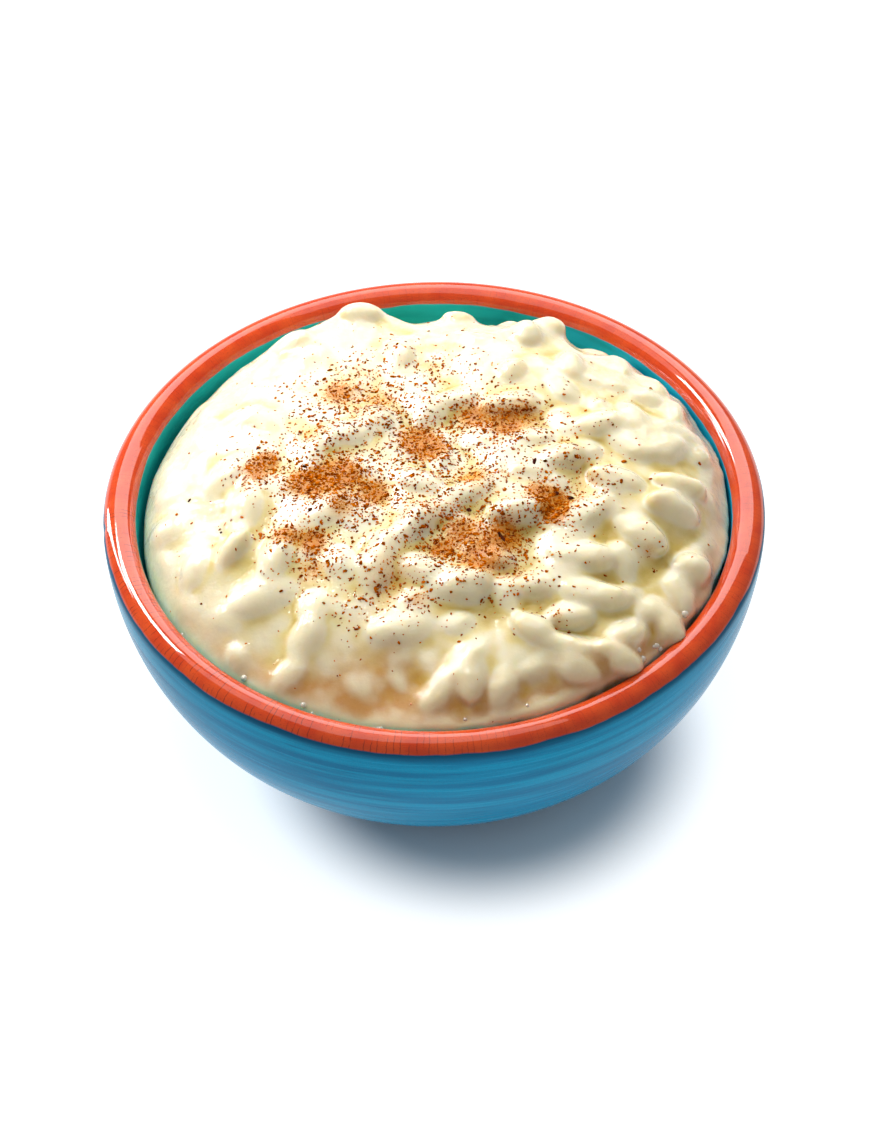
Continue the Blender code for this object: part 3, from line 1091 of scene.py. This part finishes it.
def fine_cracks(glaze, turn):
    """Lines across the rim, 1 on a crack and 0 beside it."""
    cells = glaze.add("ShaderNodeTexVoronoi", voronoi_dimensions="1D",
                      feature="DISTANCE_TO_EDGE")
    sway = glaze.calc("MULTIPLY", glaze.cloud(1.5 * MM), 0.010)
    glaze.feed(cells.inputs["W"], glaze.calc("ADD", turn, sway))
    glaze.feed(cells.inputs["Scale"], CRACKS_ROUND)
    line = glaze.spread(cells.outputs["Distance"], 0.02, 0.09, 1, 0)
    where = glaze.calc("MULTIPLY", glaze.spread(glaze.cloud(3.0 * MM), 0.42, 0.56),
                       glaze.spread(turn, -1.2, -1.9, 0.25, 1.0))
    return glaze.calc("MULTIPLY", line, where)


def red_rim(glaze, cracks):
    red = glaze.mix(glaze.spread(glaze.cloud(5 * MM, 4), 0.3, 0.7), RED_CLAY, ORANGE_CLAY)
    speck = glaze.cloud(0.25 * MM, 2)
    red = glaze.mix(glaze.spread(speck, 0.60, 0.72, 0, 0.5), red, CLAY_SPECK)
    return glaze.mix(glaze.calc("MULTIPLY", cracks, 0.75), red, CRACK)


print("cracks in a full turn:", round(CRACKS_ROUND * 2 * math.pi))

# %% [markdown]
# The three glazes meet where the brush stopped.  That border wanders a little,
# and lies lower on the inside of the rim.  The foot was wiped clean and shows
# bare clay.  Only the rim has the full clear coat: the brushed glazes are
# duller, and rougher where the streaks are.

# %% Glaze the bowl
BARE_CLAY = paint(178, 98, 62)
PALE_CLAY = paint(204, 126, 86)


def glaze_finish():
    glaze = Finish("brushed_glaze")
    split = glaze.add("ShaderNodeSeparateXYZ")
    glaze.feed(split.inputs[0], glaze.place)
    x, y, height = split.outputs
    turn = glaze.calc("ARCTAN2", y, x)
    wander = glaze.calc("MULTIPLY", glaze.calc("SUBTRACT", glaze.cloud(11 * MM), 0.5), 1.1 * MM)
    above = glaze.calc("SUBTRACT", glaze.calc("SUBTRACT", height, wander), RIM_LEVEL)
    inside = glaze.mark("inside")
    clay_edge = glaze.calc("ADD", above, glaze.calc("MULTIPLY", inside, 0.45 * MM))
    rim = glaze.spread(clay_edge, 0.90 * MM, 1.20 * MM)
    foot = glaze.spread(height, 0.25 * MM, 0.9 * MM, 1, 0)
    broad = glaze.cloud(2.6 * MM, 3, (0.05, 0.05, 1.0), 0.6)
    fine = glaze.cloud(0.55 * MM, 4, (0.03, 0.03, 1.0), 0.65)
    cracks = fine_cracks(glaze, turn)

    colour = glaze.mix(inside, brushed_blue(glaze, above, broad, fine),
                       brushed_turquoise(glaze, x))
    colour = glaze.mix(rim, colour, red_rim(glaze, cracks))
    colour = glaze.mix(foot, colour, glaze.mix(glaze.cloud(0.8 * MM, 4), BARE_CLAY, PALE_CLAY))

    rough = glaze.calc("ADD", glaze.spread(fine, 0.3, 0.7, 0.14, 0.30),
                       glaze.calc("MULTIPLY", foot, 0.5))
    rough = glaze.calc("SUBTRACT", rough, glaze.calc("MULTIPLY", rim, 0.10))
    gloss = glaze.calc("ADD", 0.10, glaze.calc("MULTIPLY", rim, 0.90))
    waves = glaze.calc("ADD", glaze.calc("MULTIPLY", broad, 0.6),
                       glaze.calc("MULTIPLY", glaze.cloud(4 * MM, 2), 0.6))
    off_rim = glaze.calc("SUBTRACT", 1.0, glaze.calc("MULTIPLY", rim, 0.85))
    waves = glaze.calc("MULTIPLY", waves, off_rim)
    waves = glaze.calc("SUBTRACT", waves, glaze.calc("MULTIPLY", cracks, 0.15))
    glaze.set(Base_Color=colour, Roughness=rough, Normal=glaze.bump(waves, 0.06 * MM, 0.7),
              Coat_Weight=gloss, Coat_Roughness=0.02, Specular_IOR_Level=0.02, IOR=1.5)
    return glaze.material


bowl.data.materials.append(glaze_finish())
print("glaze nodes:", len(bowl.data.materials[0].node_tree.nodes))

# %% [markdown]
# ## Cream
# Cream is milk fat that scatters light for a millimetre or two: red goes
# furthest, blue least, which turns thick hollows buttery.  The shader's own
# scattering gives the softness, and the marks measured on the skin add painted
# shade: buttery in the hollows and on the sides of the lumps, and brown on the
# front slope and in a hollow there, mixed into the thin milk by the rim.

# %% Colour of the cream, with painted shade
PALE_CREAM = paint(230, 222, 196)
WARM_CREAM = paint(225, 213, 174)
# Painted shade: buttery in the hollows and on the sides of the lumps, brown at the front with
# the thin milk.
SHADE_IN_HOLLOWS = paint(220, 200, 128)
DEEP_SHADE_IN_HOLLOWS = paint(200, 168, 68)
SHADED_LUMP_SIDE = paint(220, 202, 132)
THIN_MILK_AND_SHADE = paint(188, 126, 12)


def cream_colour(cream):
    """Pale tops, painted buttery shade in hollows and on lump sides, thin milk and painted brown
    shade at the front.
    """
    tone = cream.mix(cream.cloud(6 * MM, 3), PALE_CREAM, WARM_CREAM)
    hollow_shade_share = cream.spread(cream.mark("hollow_shade"), -0.10, 0.60)
    deep_hollow_shade_share = cream.spread(cream.mark("hollow_shade"), 0.35, 1.20)
    tone = cream.mix(cream.calc("MULTIPLY", hollow_shade_share, 0.8), tone, SHADE_IN_HOLLOWS)
    tone = cream.mix(cream.calc("MULTIPLY", deep_hollow_shade_share, 0.8), tone, DEEP_SHADE_IN_HOLLOWS)
    tone = cream.mix(cream.calc("MULTIPLY", cream.mark("lump_side_shade"), 0.55), tone, SHADED_LUMP_SIDE)
    patchy = cream.spread(cream.cloud(5 * MM, 2), 0.25, 0.6, 0.5, 1.0)
    milk_and_shade = cream.calc("MULTIPLY", cream.mark("thin"), patchy)
    return cream.mix(cream.calc("MULTIPLY", milk_and_shade, 0.85), tone, THIN_MILK_AND_SHADE)


print("pale cream:", [round(c, 3) for c in PALE_CREAM])

# %% [markdown]
# Under a drift the cream takes up the spice: a golden stain all round, and
# where the drift is deep a fine dust too small to model as chips.

# %% Stain under the cinnamon
GOLDEN_STAIN = paint(228, 164, 48)
FINE_DUST = paint(204, 116, 18)


def stain_cream(cream, tone):
    """Golden stain and fine dust over the cream's own colour."""
    stain = cream.mark("stain")
    speckle = cream.cloud(0.35 * MM, 4, roughness=0.7)
    heaped = cream.calc("ADD", cream.calc("MULTIPLY", stain, 0.30), speckle)
    grit = cream.spread(heaped, 0.60, 0.72)
    tone = cream.mix(cream.spread(stain, 0.0, 0.8, 0, 0.72), tone, GOLDEN_STAIN)
    dusty = cream.calc("MULTIPLY", grit, cream.spread(stain, 0.05, 0.7, 0, 0.75))
    return cream.mix(dusty, tone, FINE_DUST)


print("golden stain:", [round(c, 3) for c in GOLDEN_STAIN])

# %% [markdown]
# The wet film on top is the shader's coat, with ripples of its own, so that the
# lights on it break up.  Dry cinnamon takes the film away.

# %% Cream for the pudding
def cream_finish():
    cream = Finish("cream")
    tone = stain_cream(cream, cream_colour(cream))
    wet = cream.calc("SUBTRACT", 0.85, cream.spread(cream.mark("stain"), 0.1, 0.7, 0, 0.80))
    ripple = cream.calc("ADD", cream.cloud(1.6 * MM, 2),
                        cream.calc("MULTIPLY", cream.cloud(0.6 * MM, 2), 0.30))
    film = cream.bump(cream.cloud(1.9 * MM, 3, roughness=0.62), 0.42 * MM, 0.9)
    cream.set(Base_Color=tone, Roughness=cream.spread(cream.cloud(3 * MM), 0.3, 0.7, 0.20, 0.36),
              Normal=cream.bump(ripple, 0.12 * MM, 0.5), Coat_Normal=film,
              Subsurface_Weight=1.0, Subsurface_Radius=(1.0, 0.74, 0.42),
              Subsurface_Scale=2.4 * MM, IOR=1.40,
              Coat_Weight=wet, Coat_Roughness=0.02, Specular_IOR_Level=0.25)
    return cream.material


pudding.data.materials.append(cream_finish())
print("cream nodes:", len(pudding.data.materials[0].node_tree.nodes))


# %% [markdown]
# ## Cinnamon, bark and bubbles
# Chips differ from orange-brown to dark brown.  A noise whose lumps are larger
# than a chip gives each chip a tone of its own, so that one finish serves
# thousands of them.  Bark is dry, so it has no shine.

# %% Cinnamon and bark finishes
BARK_FLECK = paint(206, 116, 10)


def bark_finish(name, light, dark):
    """Dry bark: a tone for each chip between two, and lighter flecks on it."""
    spice = Finish(name)
    tone = spice.mix(spice.spread(spice.cloud(1.3 * MM, 3), 0.36, 0.64), light, dark)
    fleck = spice.spread(spice.cloud(0.12 * MM, 2), 0.5, 0.8, 0, 0.4)
    tone = spice.mix(fleck, tone, BARK_FLECK)
    spice.set(Base_Color=tone, Roughness=0.9, Specular_IOR_Level=0.0,
              Normal=spice.bump(spice.cloud(0.1 * MM, 2), 0.03 * MM, 0.6))
    return spice.material


powder.data.materials.append(
    bark_finish("cinnamon_dust", paint(212, 118, 10), paint(158, 68, 0)))
flakes.data.materials.append(
    bark_finish("cinnamon_flake", paint(190, 92, 4), paint(112, 44, 0)))
bark.data.materials.append(
    bark_finish("cinnamon_splinter", paint(84, 36, 24), paint(36, 18, 18)))
print("finishes:", len(bpy.data.materials))

# %% [markdown]
# A bubble is a film of milk round air.  It lets about half the light through
# and its skin is very smooth, which gives the small sharp sparks.

# %% Film of the bubbles
def bubble_finish():
    film = Finish("milk_film")
    tone = film.mix(film.cloud(0.8 * MM), paint(252, 250, 244), paint(238, 232, 214))
    film.set(Base_Color=tone, Roughness=film.spread(film.cloud(0.5 * MM), 0.3, 0.7, 0.04, 0.12),
             Transmission_Weight=0.55, IOR=1.33, Coat_Weight=0.6, Coat_Roughness=0.02,
             Normal=film.bump(film.cloud(0.3 * MM), 0.02 * MM, 0.4))
    return film.material


bubbles.data.materials.append(bubble_finish())
print("finishes, with the bubbles' own:", len(bpy.data.materials))

# %% [markdown]
# ## Everything rides on the dish
# The dish has no joints, so there is one body, and every piece rides on it.
# The turned bowl and the creamy heap take the places of the two solids.

# %% Tie the pieces to the frame
PIECES = (bowl, pudding, powder, flakes, bark, bubbles)
for piece in PIECES:
    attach(piece, "root")
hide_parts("bowl")
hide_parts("pudding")
print("pieces tied to the frame")

# %% [markdown]
# ## Table
# A plain white table, wide enough that its edge is never seen.  It glows with
# painted light, so that it stays white; the glow fades out under the dish, which
# leaves the soft shadow there.

# %% Lay the table
TABLE_SIDE = 4.0
SHADOW_PLACE = (8 * MM, -18 * MM, 0)
SHADOW_START = 27 * MM
SHADOW_END = 46 * MM
FULL_PAINTED_GLOW = 0.80

deselect()
bpy.ops.mesh.primitive_plane_add(size=TABLE_SIDE)
table = bpy.context.object
table.name = "table"
paper = Finish("white_table")
spot = paper.add("ShaderNodeVectorMath", operation="DISTANCE")
paper.feed(spot.inputs[0], paper.place)
paper.feed(spot.inputs[1], SHADOW_PLACE)
# Painted light: the table glows everywhere but under the dish, which shapes the shadow there.
painted_glow = paper.spread(spot.outputs["Value"], SHADOW_START, SHADOW_END, 0.0, FULL_PAINTED_GLOW)
paper.set(Base_Color=paper.mix(paper.cloud(0.05), paint(244, 245, 246), paint(238, 240, 242)),
          Roughness=0.6, Normal=paper.bump(paper.cloud(0.002), 0.05 * MM, 0.1),
          Emission_Color=(1, 1, 1, 1), Emission_Strength=painted_glow, Specular_IOR_Level=0.2)
table.data.materials.append(paper.material)
print("table:", [round(side, 2) for side in table.dimensions])

# %% [markdown]
# ## Light
# A large soft panel stands behind the dish and leans over it: it makes the long
# band on the rim and the wet lights on the cream.  A narrow bright panel to the
# left draws the thin line along the rim, a small one higher up makes the sharp
# glints, and a square one overhead softens it all.  Sun lamps would be simpler,
# but a wet surface shows the shape of its lamp.

# %% Light the dish
def soft_panel(name, turn, lift, distance, width, height, power):
    """A light aimed at the dish: turn is from the back, lift from the table."""
    light = bpy.data.lights.new(name, "AREA")
    light.shape = "RECTANGLE"
    light.size = width
    light.size_y = height
    light.energy = power
    panel = bpy.data.objects.new(name, light)
    bpy.context.scene.collection.objects.link(panel)
    turn = math.radians(turn)
    lift = math.radians(lift)
    way = Vector((math.sin(turn) * math.cos(lift), math.cos(turn) * math.cos(lift),
                  math.sin(lift)))
    panel.location = heart + way * distance
    panel.rotation_euler = way.to_track_quat("Z", "Y").to_euler()
    return panel


heart = Vector((0, 0, RIM_LEVEL))
back_panel = soft_panel("back_panel", 0, 36, 0.60, 0.62, 0.30, 2.5)
left_panel = soft_panel("left_panel", -52, 22, 0.55, 0.05, 0.40, 1.4)
soft_panel("top_panel", -25, 72, 0.80, 0.50, 0.50, 1.4)
glint_panel = soft_panel("glint_panel", -38, 48, 0.60, 0.12, 0.16, 2.2)

# %% [markdown]
# All but the panel overhead light the dish only, so that no long shadow crosses
# the table.  A white room all round fills the shadows.

# %% Keep three panels off the table and light the room
ROOM_WHITE = (1.0, 0.995, 0.985, 1)
ROOM_STRENGTH = 0.38
dish = bpy.data.collections.new("dish")
for piece in PIECES:
    dish.objects.link(piece)
for panel in (back_panel, left_panel, glint_panel):
    panel.light_linking.receiver_collection = dish
room = bpy.data.worlds.new("white_room")
bpy.context.scene.world = room
room.use_nodes = True
backdrop = room.node_tree.nodes["Background"]
backdrop.inputs["Color"].default_value = ROOM_WHITE
backdrop.inputs["Strength"].default_value = ROOM_STRENGTH

# %% [markdown]
# ## Camera
# The camera stands 80 cm off and looks down at 46 degrees through a long lens,
# tilted by one degree.  A small shift puts the bowl in the upper half.  The
# lens is worked out from the height that it should take in at the dish.

# %% Set the camera
LOOK_DOWN = math.radians(45.74)
LEAN = math.radians(1.02)
CAMERA_DISTANCE = 0.80
VIEW_HEIGHT = 205.338 * MM
SENSOR = 36.0
camera_data = bpy.data.cameras.new("camera")
camera = bpy.data.objects.new("camera", camera_data)
bpy.context.scene.collection.objects.link(camera)
camera_data.sensor_width = SENSOR
camera_data.lens = SENSOR * CAMERA_DISTANCE / VIEW_HEIGHT
camera_data.shift_x = 0.001
camera_data.shift_y = -0.0486
look = Matrix.Rotation(math.pi / 2 - LOOK_DOWN, 4, "X") @ Matrix.Rotation(-LEAN, 4, "Z")
back = look @ Vector((0, 0, CAMERA_DISTANCE))
camera.matrix_world = Matrix.Translation(heart + back) @ look
bpy.context.scene.camera = camera
bpy.context.scene.view_settings.view_transform = "Standard"
print("lens:", round(camera_data.lens, 1), "mm")
